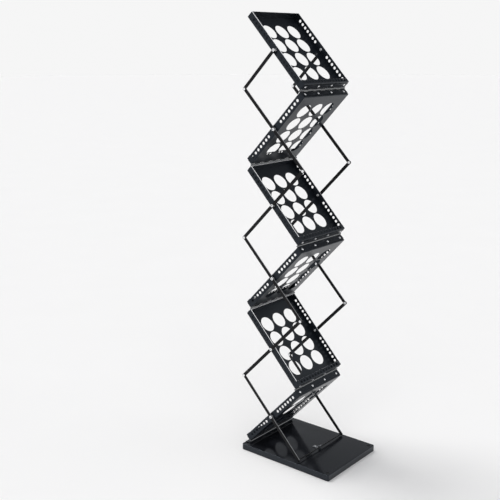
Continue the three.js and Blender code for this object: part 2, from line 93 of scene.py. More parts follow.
@dataclass(frozen=True)
class Sizes:
    """Sizes that several parts of the rack share, in millimetres."""

    tray_count: int = 6
    width: float = 249.0
    length: float = 301.0
    height: float = 25.0
    sheet: float = 1.2
    lip: float = 16.0
    tilt: float = math.radians(47.0)
    axis_out: float = 2.9
    axis_up: float = 1.67705
    gap: float = 0.35
    arm_thickness: float = 2.4
    arm_reach: float = 14.85
    arm_inner: float = 129.4
    arm_outer: float = 132.2
    rod: float = 2.0
    base: Point = (287.0, 362.90769, 21.0)
    setback: float = 22.4
    rise: float = 7.4

    @property
    def along(self) -> float:
        """Returns the distance between a tray's hinge axes along its plate."""
        return self.length + 2 * self.axis_out

    @property
    def across(self) -> float:
        """Returns the distance between a tray's hinge axes out of its plate."""
        return self.height + 2 * self.axis_up

    @property
    def span(self) -> float:
        """Returns the straight distance between a tray's hinge axes."""
        return math.hypot(self.along, self.across)

    @property
    def axis_slope(self) -> float:
        """Returns the slope of the line between the hinge axes of an erected tray."""
        return self.tilt + math.atan2(self.across, self.along)

    @property
    def half_arm(self) -> float:
        """Returns half the distance between the elbows of an arm."""
        return self.span / 2 + self.arm_reach

    @property
    def arm_slope(self) -> float:
        """Returns the slope of an arm when the rack is erected."""
        return math.asin(self.tray_rise / (2 * self.half_arm))

    @property
    def tray_rise(self) -> float:
        """Returns the height that one tray adds to the rack."""
        return self.span * math.sin(self.axis_slope)

    @property
    def tray_run(self) -> float:
        """Returns the depth of one tray's zig or zag."""
        return self.span * math.cos(self.axis_slope)

    @property
    def first_axis(self) -> Pair:
        """Returns the Y and Z of the lowest hinge axis."""
        return self.setback - self.base[1] / 2, self.base[2] + self.rise

    @property
    def rod_y(self) -> float:
        """Returns the Y of the foot rod."""
        return self.first_axis[0] + self.tray_run / 2 + self.half_arm * math.cos(self.arm_slope)


SIZES = Sizes()


@dataclass(frozen=True)
class Finish:
    """A procedural finish: two close colours, a roughness band and a fine relief."""

    name: str
    dark: Colour
    light: Colour
    roughness: Pair
    metallic: float = 0.0
    specular: float = 0.5
    grain: float = 900.0
    relief: float = 0.1
    sheen: Colour = (1.0, 1.0, 1.0)


SLATE = (0.74, 0.86, 1.0)


class Coat(Enum):
    """Finishes of the rack."""

    TRAY = Finish(
        name="satin_black",
        dark=(0.001, 0.0015, 0.0025),
        light=(0.011, 0.0135, 0.018),
        roughness=(0.26, 0.36),
        specular=0.3,
        grain=330.0,
        relief=0.7,
        sheen=SLATE,
    )
    # Painted highlight: a near-white coat on the pans' rims and the lip's free edge, standing in for the
    # glints of light on those edges.
    EDGE = Finish(
        name="sheet_edge",
        dark=(0.86, 0.87, 0.89),
        light=(0.95, 0.95, 0.96),
        roughness=(0.2, 0.3),
        specular=1.0,
        grain=500.0,
        relief=0.05,
    )
    # Painted highlight: a lighter grey metal on the hinge knuckles, standing in for the glints along them.
    KNUCKLE = Finish(
        name="worn_knuckle",
        dark=(0.1, 0.105, 0.11),
        light=(0.24, 0.245, 0.25),
        roughness=(0.18, 0.3),
        metallic=1.0,
        grain=500.0,
    )
    # Painted highlight: a lighter grey on the upper narrow edge of each arm bar, where light from above
    # falls.
    BAR_EDGE = Finish(
        name="worn_bar_edge",
        dark=(0.2, 0.205, 0.21),
        light=(0.3, 0.305, 0.31),
        roughness=(0.22, 0.34),
        specular=0.8,
        grain=500.0,
        relief=0.08,
    )
    ARM = Finish(
        name="arm_black",
        dark=(0.003, 0.003, 0.004),
        light=(0.009, 0.009, 0.01),
        roughness=(0.3, 0.4),
        specular=0.14,
        grain=420.0,
        relief=0.25,
    )
    BOARD = Finish(
        name="board_lacquer",
        dark=(0.006, 0.0065, 0.008),
        light=(0.014, 0.015, 0.018),
        roughness=(0.1, 0.16),
        specular=0.4,
        grain=380.0,
        relief=0.05,
        sheen=SLATE,
    )
    # Partly the real bright plating of rivets and screws, partly painted highlight: its diffuse white share
    # makes the heads look lit from any angle.
    BRIGHT = Finish(
        name="bright_plating",
        dark=(0.8, 0.81, 0.83),
        light=(0.92, 0.92, 0.93),
        roughness=(0.16, 0.28),
        metallic=0.6,
        grain=1500.0,
        relief=0.03,
    )
    SPRING = Finish(
        name="spring_steel",
        dark=(0.2, 0.21, 0.23),
        light=(0.32, 0.33, 0.35),
        roughness=(0.3, 0.42),
        metallic=1.0,
        grain=1200.0,
        relief=0.06,
    )
    # Painted shade: a near-black coat inside the drive sockets of the pivot screws.
    RECESS = Finish(
        name="drive_recess",
        dark=(0.02, 0.02, 0.022),
        light=(0.05, 0.05, 0.055),
        roughness=(0.5, 0.65),
    )


class Paint:
    """Makes each finish once as a node material."""

    GRAIN_DETAIL = 3.0
    CLOUD_SCALE = 9.0
    CLOUD_DETAIL = 2.0
    RELIEF_DEPTH = 0.0002

    def __init__(self) -> None:
        """Starts with no material made."""
        self._made: dict[Coat, bpy.types.Material] = {}

    def material(self, coat: Coat) -> bpy.types.Material:
        """Gives the material of a finish.

        Args:
            coat: the finish.

        Returns:
            The node material, made on first use.
        """
        if coat not in self._made:
            self._made[coat] = self._make(coat.value)
        return self._made[coat]

    def _make(self, finish: Finish) -> bpy.types.Material:
        """Builds the node material of a finish.

        Args:
            finish: the finish.

        Returns:
            The material.
        """
        material = bpy.data.materials.new(finish.name)
        material.use_nodes = True
        tree = material.node_tree
        shader = tree.nodes["Principled BSDF"]
        shader.inputs["Metallic"].default_value = finish.metallic
        shader.inputs["Specular IOR Level"].default_value = finish.specular
        shader.inputs["Specular Tint"].default_value = (*finish.sheen, 1.0)
        grain = self.noise(tree, finish.grain, self.GRAIN_DETAIL)
        colours = self.blend(tree, finish.dark, finish.light)
        tree.links.new(grain.outputs["Fac"], colours.inputs["Factor"])
        tree.links.new(colours.outputs["Result"], shader.inputs["Base Color"])
        cloud = self.noise(tree, self.CLOUD_SCALE, self.CLOUD_DETAIL)
        band = tree.nodes.new("ShaderNodeMapRange")
        band.inputs["To Min"].default_value = finish.roughness[0]
        band.inputs["To Max"].default_value = finish.roughness[1]
        tree.links.new(cloud.outputs["Fac"], band.inputs["Value"])
        tree.links.new(band.outputs["Result"], shader.inputs["Roughness"])
        bump = tree.nodes.new("ShaderNodeBump")
        bump.inputs["Strength"].default_value = finish.relief
        bump.inputs["Distance"].default_value = self.RELIEF_DEPTH
        tree.links.new(grain.outputs["Fac"], bump.inputs["Height"])
        tree.links.new(bump.outputs["Normal"], shader.inputs["Normal"])
        return material

    @staticmethod
    def noise(tree: bpy.types.NodeTree, scale: float, detail: float) -> bpy.types.Node:
        """Adds a noise on Object coordinates.

        Args:
            tree: the node tree.
            scale: the noise's scale, per metre.
            detail: its octaves.

        Returns:
            The noise node.
        """
        place = tree.nodes.new("ShaderNodeTexCoord")
        noise = tree.nodes.new("ShaderNodeTexNoise")
        noise.inputs["Scale"].default_value = scale
        noise.inputs["Detail"].default_value = detail
        tree.links.new(place.outputs["Object"], noise.inputs["Vector"])
        return noise

    @staticmethod
    def blend(tree: bpy.types.NodeTree, first: Sequence[float], second: Sequence[float]) -> bpy.types.Node:
        """Adds a blend of two colours.

        Args:
            tree: the node tree.
            first: the colour at factor 0.
            second: the colour at factor 1.

        Returns:
            The blend node.
        """
        node = tree.nodes.new("ShaderNodeMix")
        node.data_type = "RGBA"
        node.inputs["A"].default_value = (*first, 1.0)
        node.inputs["B"].default_value = (*second, 1.0)
        return node


class Shaper:
    """Modelling steps shared by all pieces. Shapes are in millimetres until they are placed."""

    MERGE = 0.001
    CREASE = math.radians(40)
    FLATTEN_WEIGHT = 100

    @staticmethod
    def only(obj: Obj) -> None:
        """Selects one object and makes it active.

        Args:
            obj: the object.
        """
        bpy.ops.object.select_all(action="DESELECT")
        obj.select_set(True)
        bpy.context.view_layer.objects.active = obj

    @staticmethod
    def block(low: Sequence[float], high: Sequence[float]) -> Obj:
        """Makes a block between two corners.

        Args:
            low: lowest corner.
            high: highest corner.

        Returns:
            The block.
        """
        bpy.ops.mesh.primitive_cube_add(size=1.0)
        obj = bpy.context.object
        size = [b - a for a, b in zip(low, high)]
        middle = Vector((a + b) / 2 for a, b in zip(low, high))
        obj.data.transform(Matrix.Translation(middle) @ Matrix.Diagonal((*size, 1.0)))
        return obj

    @staticmethod
    def rod(radius: float, axis: Axis, span: Sequence[float], at: Point, sides: int) -> Obj:
        """Makes a plain round bar.

        Args:
            radius: its radius.
            axis: its direction.
            span: start and end along that direction.
            at: the point its axis goes through.
            sides: faces round it.

        Returns:
            The bar.
        """
        bpy.ops.mesh.primitive_cylinder_add(vertices=sides, radius=radius, depth=span[1] - span[0])
        obj = bpy.context.object
        lift = Matrix.Translation((0, 0, (span[0] + span[1]) / 2))
        obj.data.transform(Matrix.Translation(at) @ axis.value @ lift)
        return obj

    @staticmethod
    def sheet_profile(points: Outline, span: Sequence[float]) -> Obj:
        """Pulls a closed outline in Y and Z along X.

        Args:
            points: corners of the outline, in order.
            span: start and end along X.

        Returns:
            The pulled solid.
        """
        mesh = bpy.data.meshes.new("profile")
        mesh.from_pydata([(span[0], y, z) for y, z in points], [], [range(len(points))])
        obj = bpy.data.objects.new("profile", mesh)
        bpy.context.collection.objects.link(obj)
        Shaper.only(obj)
        bpy.ops.object.mode_set(mode="EDIT")
        bpy.ops.mesh.select_all(action="SELECT")
        bpy.ops.mesh.extrude_region_move(TRANSFORM_OT_translate={"value": (span[1] - span[0], 0, 0)})
        bpy.ops.mesh.select_all(action="SELECT")
        bpy.ops.mesh.normals_make_consistent(inside=False)
        bpy.ops.object.mode_set(mode="OBJECT")
        return obj

    @staticmethod
    def turned(profile: Outline, axis: Axis, at: Point, sides: int) -> Obj:
        """Turns a profile about an axis.

        Args:
            profile: radius and place pairs, from the axis back to the axis.
            axis: the direction of the axis.
            at: a point on the axis.
            sides: steps round it.

        Returns:
            The turned solid.
        """
        mesh = bpy.data.meshes.new("turned")
        edges = [(i, i + 1) for i in range(len(profile) - 1)]
        mesh.from_pydata([(radius, 0, place) for radius, place in profile], edges, [])
        obj = bpy.data.objects.new("turned", mesh)
        bpy.context.collection.objects.link(obj)
        Shaper.only(obj)
        screw = obj.modifiers.new("turn", "SCREW")
        screw.steps = sides
        screw.render_steps = sides
        screw.use_merge_vertices = True
        bpy.ops.object.modifier_apply(modifier=screw.name)
        bpy.ops.object.mode_set(mode="EDIT")
        bpy.ops.mesh.select_all(action="SELECT")
        bpy.ops.mesh.remove_doubles(threshold=Shaper.MERGE)
        bpy.ops.mesh.normals_make_consistent(inside=False)
        bpy.ops.object.mode_set(mode="OBJECT")
        obj.data.transform(Matrix.Translation(at) @ axis.value)
        return obj

    @staticmethod
    def join(parts: Sequence[Obj]) -> Obj:
        """Joins shapes into one object.

        Args:
            parts: the shapes; the first one is kept.

        Returns:
            The joined object.
        """
        Shaper.only(parts[0])
        for part in parts[1:]:
            part.select_set(True)
        if len(parts) > 1:
            bpy.ops.object.join()
        return parts[0]

    @staticmethod
    def combine(obj: Obj, parts: Sequence[Obj], how: Combine) -> None:
        """Cuts shapes out of an object, or melts them into it.

        Args:
            obj: the object to change.
            parts: the shapes, which are used up.
            how: what the shapes do to the object.
        """
        tool = Shaper.join(parts)
        Shaper.only(obj)
        modifier = obj.modifiers.new("combine", "BOOLEAN")
        modifier.operation = how.value
        modifier.solver = "EXACT"
        modifier.object = tool
        bpy.ops.object.modifier_apply(modifier=modifier.name)
        bpy.data.objects.remove(tool)

    @staticmethod
    def bevel(obj: Obj, choose: Callable[[Vector, Vector], bool], width: float, steps: int) -> None:
        """Rounds chosen edges.

        Args:
            obj: the object.
            choose: says yes to an edge from its two ends.
            width: the size of the rounding.
            steps: its segments.
        """
        Shaper.only(obj)
        bpy.ops.object.mode_set(mode="EDIT")
        bpy.ops.mesh.select_all(action="DESELECT")
        bpy.ops.mesh.select_mode(type="EDGE")
        bpy.ops.object.mode_set(mode="OBJECT")
        points = obj.data.vertices
        for edge in obj.data.edges:
            edge.select = choose(*(points[i].co for i in edge.vertices))
        bpy.ops.object.mode_set(mode="EDIT")
        bpy.ops.mesh.bevel(offset=width, segments=steps, affect="EDGES")
        bpy.ops.object.mode_set(mode="OBJECT")

    @staticmethod
    def split(obj: Obj, at: Point, across: Point) -> None:
        """Divides the faces of an object along a plane.

        Args:
            obj: the object.
            at: a point of the plane.
            across: the direction that the plane lies across.
        """
        Shaper.only(obj)
        bpy.ops.object.mode_set(mode="EDIT")
        bpy.ops.mesh.select_all(action="SELECT")
        bpy.ops.mesh.bisect(plane_co=at, plane_no=across)
        bpy.ops.object.mode_set(mode="OBJECT")

    @staticmethod
    def ease(obj: Obj, width: float, steps: int = 2) -> None:
        """Takes the sharpness off every crease, so that it catches the light.

        Args:
            obj: the object.
            width: the size of the easing.
            steps: its segments.
        """
        Shaper.only(obj)
        modifier = obj.modifiers.new("ease", "BEVEL")
        modifier.width = width
        modifier.segments = steps
        modifier.limit_method = "ANGLE"
        modifier.angle_limit = Shaper.CREASE
        bpy.ops.object.modifier_apply(modifier=modifier.name)

    @staticmethod
    def shade(obj: Obj, angle: float) -> None:
        """Shades an object smooth, with its large faces kept flat.

        Args:
            obj: the object.
            angle: the turn between two faces above which their edge stays sharp.
        """
        Shaper.only(obj)
        bpy.ops.object.shade_smooth_by_angle(angle=angle)
        flatten = obj.modifiers.new("flatten", "WEIGHTED_NORMAL")
        flatten.weight = Shaper.FLATTEN_WEIGHT
        flatten.keep_sharp = True
        bpy.ops.object.modifier_apply(modifier=flatten.name)


@dataclass
class Workshop:
    """Paints finished shapes, sets them in place and ties them to the CAD frame."""

    paint: Paint = field(default_factory=Paint)
    slots: dict[str, str] = field(default_factory=dict)
    bodies: dict[str, str] = field(default_factory=dict)
    sharp_angle: float = math.radians(32)

    def __post_init__(self) -> None:
        """Reads the slot and the body of every CAD node from the record."""
        record = frame["record"]
        self.slots = {part["node"]: part["material_slot"] for part in record["subparts"]}
        for body, nodes in record["behaviour"]["bodies"].items():
            self.bodies.update(dict.fromkeys(nodes, body))

    def coat(self, obj: Obj, *coats: Coat) -> None:
        """Puts finishes on a shape.

        Args:
            obj: the shape.
            coats: its finishes, in the order of its material slots.
        """
        obj.data.materials.clear()
        for coat in coats:
            obj.data.materials.append(self.paint.material(coat))

    def place(self, model: Obj, name: str, node: str, where: Matrix, stands_in: bool = True) -> None:
        """Sets a copy of a model in place.

        Args:
            model: the model, in millimetres in its own frame.
            name: the name of the finished piece.
            node: the CAD node it belongs to.
            where: the model's frame in the object's frame, in millimetres.
            stands_in: whether it takes the node's place or is a detail of it.
        """
        piece = model.copy()
        piece.data = model.data.copy()
        piece.name = name
        piece.data.name = name
        bpy.context.collection.objects.link(piece)
        piece.data.transform(Matrix.Scale(MM, 4) @ where)
        Shaper.shade(piece, self.sharp_angle)
        if stands_in:
            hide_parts(node)
        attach(piece, self.bodies[node])
        LOG.info("piece %s: %d faces, moves with %s", name, len(piece.data.polygons), self.bodies[node])

    @staticmethod
    def discard(*models: Obj) -> None:
        """Removes models once their copies are in place."""
        for model in models:
            bpy.data.objects.remove(model)


def spread(count: int, pitch: float) -> list[float]:
    """Gives a count of evenly spaced places about zero."""
    return [(i - (count - 1) / 2) * pitch for i in range(count)]


def shifted(outline: Outline, start: float) -> list[Pair]:
    """Moves an outline of radius and place pairs along its axis."""
    return [(radius, start + place) for radius, place in outline]


def mirrored(outline: Outline, sign: float) -> list[Pair]:
    """Keeps an outline of radius and place pairs at sign 1, and turns it over at sign -1."""
    return [(radius, sign * place) for radius, place in outline]


def tray_frame(number: int) -> Matrix:
    """Gives a tray's frame, on its lower hinge axis.

    Args:
        number: the tray, counted from the base.

    Returns:
        The frame in millimetres.
    """
    y, z = SIZES.first_axis
    rear = number % 2 == 0
    place = Matrix.Translation((0, y + (SIZES.tray_run if rear else 0), z + (number - 1) * SIZES.tray_rise))
    turn = Matrix.Rotation(math.pi if rear else 0, 4, "Z")
    return place @ turn @ Matrix.Rotation(SIZES.tilt, 4, "X")


def arm_frame(number: int) -> Matrix:
    """Gives the frame of a pair of arms, on their middle pivot.

    Args:
        number: the tray they turn on.

    Returns:
        The frame in millimetres.
    """
    y, z = SIZES.first_axis
    place = Matrix.Translation((0, y + SIZES.tray_run / 2, z + (number - 0.5) * SIZES.tray_rise))
    turn = Matrix.Rotation(math.pi if number % 2 else 0, 4, "Z")
    return place @ turn @ Matrix.Rotation(SIZES.arm_slope, 4, "X")


@dataclass
class Trays:
    """The perforated sheet pans."""

    shop: Workshop
    low: float = SIZES.axis_out
    high: float = SIZES.axis_out + SIZES.length
    floor: float = SIZES.axis_up
    top: float = SIZES.axis_up + SIZES.height
    bend: float = 2.0
    bend_steps: int = 4
    hole: float = 54.5
    hole_grid: tuple[int, int] = (3, 4)
    hole_pitch: Pair = (64.5, 58.4)
    hole_sides: int = 56
    small_hole: float = 9.5
    small_sides: int = 20
    side_first: float = 34.7
    side_pitch: float = 15.3
    side_count: int = 7
    lip_pitch: float = 16.1
    lip_count: int = 14
    easing: float = 0.42
    rim_start: float = 0.6
    # Depth under the rim tops that gets the painted highlight.
    worn: float = 1.3
    edge_reach: float = 0.45
    lip_reach: float = 0.4
    edge_lean: float = 0.25

    def build(self) -> None:
        """Models one pan and sets it in place for every tray."""
        pan = self._blank()
        # These splits mark out the faces that get the painted highlight on the rims and the lip.
        Shaper.split(pan, (0, self.low + SIZES.lip + self.rim_start, 0), (0, 1, 0))
        Shaper.split(pan, (0, 0, self.top - self.worn), (0, 0, 1))
        Shaper.combine(pan, self._cuts(), Combine.CUT)
        Shaper.ease(pan, self.easing)
        # Faces on the rims and the lip's free edge get the near-white painted highlight.
        self.shop.coat(pan, Coat.TRAY, Coat.EDGE)
        for face in pan.data.polygons:
            face.material_index = int(self._is_sheet_edge(face))
        for number in range(1, SIZES.tray_count + 1):
            self.shop.place(pan, f"tray_{number}_pan", f"tray_{number}", tray_frame(number))
        Workshop.discard(pan)

    def _blank(self) -> Obj:
        """Folds the pan, still without holes.

        Returns:
            The pan.
        """
        side = SIZES.width / 2
        blank = Shaper.block((-side, self.low, self.floor), (side, self.high, self.top))

        def folded(a: Vector, b: Vector) -> bool:
            """Says whether an edge of the blank is a bend.

            Args:
                a: one end of the edge.
                b: its other end.

            Returns:
                True on the edges round the plate and at the lip.
            """
            at_floor = max(a.z, b.z) < self.floor + TOUCH
            at_lip = min(a.z, b.z) > self.top - TOUCH and max(a.y, b.y) < self.low + TOUCH
            return at_floor or at_lip

        Shaper.bevel(blank, folded, self.bend, self.bend_steps)
        hollow = Shaper.sheet_profile(self._hollow(), (SIZES.sheet - side, side - SIZES.sheet))
        Shaper.combine(blank, [hollow], Combine.CUT)
        return blank

    def _hollow(self) -> list[Pair]:
        """Draws the inside of the pan, under its lip.

        Returns:
            The outline in Y and Z.
        """
        sheet = SIZES.sheet
        mouth = self.low + SIZES.lip
        return [
            (self.low + sheet, self.floor + sheet),
            (self.high - sheet, self.floor + sheet),
            (self.high - sheet, self.top + 2 * OVERCUT),
            (mouth, self.top + 2 * OVERCUT),
            (mouth, self.top - sheet),
            (self.low + sheet, self.top - sheet),
        ]

    def _cuts(self) -> list[Obj]:
        """Makes the cutters of all holes: plate, side flanges and lip.

        Returns:
            The cutters.
        """
        middle = SIZES.along / 2
        level = SIZES.across / 2
        small = self.small_hole / 2
        reach = SIZES.width / 2 + 2 * OVERCUT
        cuts = []
        plate = (self.floor - OVERCUT, self.floor + SIZES.sheet + OVERCUT)
        for x in spread(self.hole_grid[0], self.hole_pitch[0]):
            for y in spread(self.hole_grid[1], self.hole_pitch[1]):
                cuts.append(Shaper.rod(self.hole / 2, Axis.Z, plate, (x, middle + y, 0), self.hole_sides))
        for step in range(self.side_count):
            offset = self.side_first + step * self.side_pitch
            for y in (middle - offset, middle + offset):
                cuts.append(Shaper.rod(small, Axis.X, (-reach, reach), (0, y, level), self.small_sides))
        lip = (self.top - SIZES.sheet - OVERCUT, self.top + OVERCUT)
        for x in spread(self.lip_count, self.lip_pitch):
            at = (x, self.low + SIZES.lip / 2, 0)
            cuts.append(Shaper.rod(small, Axis.Z, lip, at, self.small_sides))
        return cuts

    def _is_sheet_edge(self, face: bpy.types.MeshPolygon) -> bool:
        """Says whether a face gets the painted highlight, a near-white coat standing in for the glints on
        the sheet's cut edges.

        Args:
            face: a face of the pan.

        Returns:
            True on the rims of the side and upper flanges and on the free edge of the lip.
        """
        x, y, z = face.center
        past_mouth = y - self.low - SIZES.lip
        near_top = z > self.top - self.worn
        on_rim = z > self.top - self.edge_reach and face.normal.z > self.edge_lean
        outside = near_top and abs(x) > SIZES.width / 2 - self.edge_reach
        on_lip = near_top and abs(past_mouth) < self.lip_reach
        return on_lip or (past_mouth > -self.lip_reach and (on_rim or outside))


@dataclass
class Hinges:
    """Strip hinges between the trays, with the rivets that hold them."""

    shop: Workshop
    leaf: float = 1.1
    leaf_low: float = 3.1
    leaf_high: float = 20.0
    tongue_high: float = 4.2
    knuckle: float = 3.0
    knuckle_count: int = 11
    knuckle_gap: float = 0.4
    knuckle_sides: int = 28
    bright_reach: float = 3.2
    pin: float = 1.5
    pin_sides: int = 16
    bore: float = 1.85
    bore_sides: int = 20
    easing: float = 0.22
    rivet_count: int = 4
    rivet_pitch: float = 72.0
    rivet_line: float = 13.5
    screw_line: float = 11.5
    dome: Outline = ((0.0, 0.0), (4.0, 0.0), (4.0, 0.3), (3.6, 0.8), (2.7, 1.2), (1.4, 1.4), (0.0, 1.45))
    dome_sides: int = 24
    back: float = SIZES.axis_out - SIZES.gap
    sole: float = SIZES.rise - SIZES.gap
    side: float = SIZES.width / 2

    def build(self) -> None:
        """Models the leaves, pin and rivets once and sets them in place on every hinge."""
        lower = self._leaf(0)
        upper = self._leaf(1)
        pin = Shaper.rod(self.pin, Axis.X, (-self.side, self.side), (0, 0, 0), self.pin_sides)
        self.shop.coat(pin, Coat.SPRING)
        rivets = self._heads(self.back - self.leaf, self.rivet_line, Axis.Y)
        half_turn = Matrix.Rotation(math.pi, 4, "X")
        self._base_leaf(tray_frame(1) @ Matrix.Rotation(math.pi - SIZES.tilt, 4, "X"), pin)
        for number in range(1, SIZES.tray_count + 1):
            here = tray_frame(number)
            upper_node = f"hinge_{number}_upper_leaf"
            self.shop.place(upper, f"hinge_{number}_upper_strip", upper_node, here)
            self.shop.place(rivets, f"hinge_{number}_upper_rivets", upper_node, here, stands_in=False)
            if number < SIZES.tray_count:
                above = number + 1
                there = here @ Matrix.Translation((0, SIZES.along, SIZES.across)) @ half_turn
                lower_node = f"hinge_{above}_lower_leaf"
                self.shop.place(lower, f"hinge_{above}_lower_strip", lower_node, there)
                self.shop.place(rivets, f"hinge_{above}_lower_rivets", lower_node, there, stands_in=False)
                self.shop.place(pin, f"hinge_{above}_rod", f"hinge_{above}_pin", there)
        Workshop.discard(lower, upper, pin, rivets)

    def _leaf(self, first: int) -> Obj:
        """Models a straight leaf.

        Args:
            first: its first knuckle, 0 or 1.

        Returns:
            The coated leaf.
        """
        low = (-self.side, self.back - self.leaf, self.leaf_low)
        strip = Shaper.block(low, (self.side, self.back, self.leaf_high))
        self._add_knuckles(strip, first)
        return strip

    def _add_knuckles(self, strip: Obj, first: int) -> None:
        """Rolls every second knuckle onto a strip, bores them for the pin and coats the leaf, with a
        painted highlight on the knuckles.

        Args:
            strip: the plain strip.
            first: its first knuckle, 0 or 1.
        """
        count = self.knuckle_count
        length = (SIZES.width - (count - 1) * self.knuckle_gap) / count
        rolls = []
        tongues = []
        for x in spread(count, length + self.knuckle_gap)[first::2]:
            span = (x - length / 2, x + length / 2)
            rolls.append(Shaper.rod(self.knuckle, Axis.X, span, (0, 0, 0), self.knuckle_sides))
            low = (span[0], self.back - self.leaf, 0)
            tongues.append(Shaper.block(low, (span[1], self.back, self.tongue_high)))
        Shaper.combine(strip, tongues, Combine.MELT)
        Shaper.combine(strip, rolls, Combine.MELT)
        bore = Shaper.rod(self.bore, Axis.X, (-SIZES.width, SIZES.width), (0, 0, 0), self.bore_sides)
        Shaper.combine(strip, [bore], Combine.CUT)
        Shaper.ease(strip, self.easing)
        self.shop.coat(strip, Coat.TRAY, Coat.KNUCKLE)
        # Faces round the pin, the knuckles, get the lighter painted highlight coat.
        for face in strip.data.polygons:
            from_axis = math.hypot(face.center.y, face.center.z)
            face.material_index = int(from_axis < self.bright_reach)

    def _heads(self, y: float, z: float, axis: Axis) -> Obj:
        """Models a row of domed heads.

        Args:
            y: the place of their seats in Y.
            z: the place of their seats in Z.
            axis: the direction that they stand against.

        Returns:
            The coated heads, as one object.
        """
        dome = mirrored(self.dome, -1)
        places = spread(self.rivet_count, self.rivet_pitch)
        heads = Shaper.join([Shaper.turned(dome, axis, (x, y, z), self.dome_sides) for x in places])
        self.shop.coat(heads, Coat.BRIGHT)
        return heads

    def _base_leaf(self, where: Matrix, pin: Obj) -> None:
        """Models the cranked leaf of the lowest hinge and sets it on the base.

        Args:
            where: the frame of the leaf, on its axis and upside down.
            pin: the model of the hinge pin.
        """
        front = self.back - self.leaf
        toe = SIZES.setback - self.leaf
        seat = self.sole - self.leaf
        crank = [
            (front, self.leaf_low),
            (self.back, self.leaf_low),
            (self.back, seat),
            (toe, seat),
            (toe, self.sole),
            (front, self.sole),
        ]
        strip = Shaper.sheet_profile(crank, (-self.side, self.side))
        self._add_knuckles(strip, 0)
        screws = self._heads(self.screw_line, seat, Axis.Z)
        self.shop.place(strip, "hinge_1_lower_strip", "hinge_1_lower_leaf", where)
        self.shop.place(screws, "hinge_1_lower_screws", "hinge_1_lower_leaf", where, stands_in=False)
        self.shop.place(pin, "hinge_1_rod", "hinge_1_pin", where)
        Workshop.discard(strip, screws)


